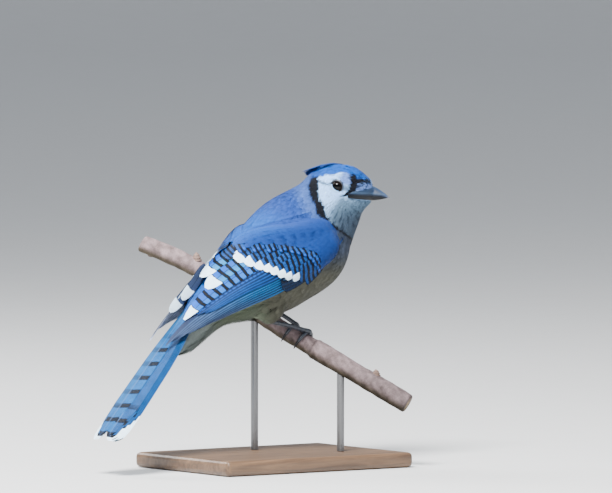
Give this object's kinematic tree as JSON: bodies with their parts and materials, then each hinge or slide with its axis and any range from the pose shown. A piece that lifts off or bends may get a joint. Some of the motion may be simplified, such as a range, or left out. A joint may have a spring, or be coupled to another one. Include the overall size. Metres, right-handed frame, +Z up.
{
  "type": "blue jay",
  "caption": "Life-size perched crested songbird with folded wings and a long hanging tail, on a cut twig held by a flat-based display stand.",
  "frame": {"origin": "middle of the underside of the stand's base", "axes": "+X along the bird's heading, +Y to its left, +Z up"},
  "size_m": [0.212, 0.1498, 0.2018],
  "materials": {
    "body_plumage": "soft matt feathers, grey-violet blue above and pale grey below",
    "head_plumage": "soft matt feathers, azure crest, white face and black necklace",
    "wing_plumage": "satin feathers, bright blue barred with black and tipped with white",
    "tail_plumage": "satin feathers, bright blue barred with black, white corners",
    "bill": "smooth slate-black horn",
    "eyes": "wet gloss, dark brown",
    "leg_scales": "scaly, slate-black, satin",
    "bark": "mauve-grey young bark with leaf scars",
    "base_wood": "satin varnished wood",
    "rod_steel": "brushed"
  },
  "bodies": {
    "root": {"torso": "body_plumage", "neck": "body_plumage", "thigh_right": "body_plumage", "thigh_left": "body_plumage", "head": "head_plumage", "wing_right": "wing_plumage", "wing_left": "wing_plumage", "tail": "tail_plumage", "bill_upper": "bill", "bill_lower": "bill", "eye_right": "eyes", "eye_left": "eyes", "foot_right": "leg_scales", "foot_left": "leg_scales", "perch": "bark", "stand_base": "base_wood", "stand_rod_1": "rod_steel", "stand_rod_2": "rod_steel"}
  },
  "joints": []
}
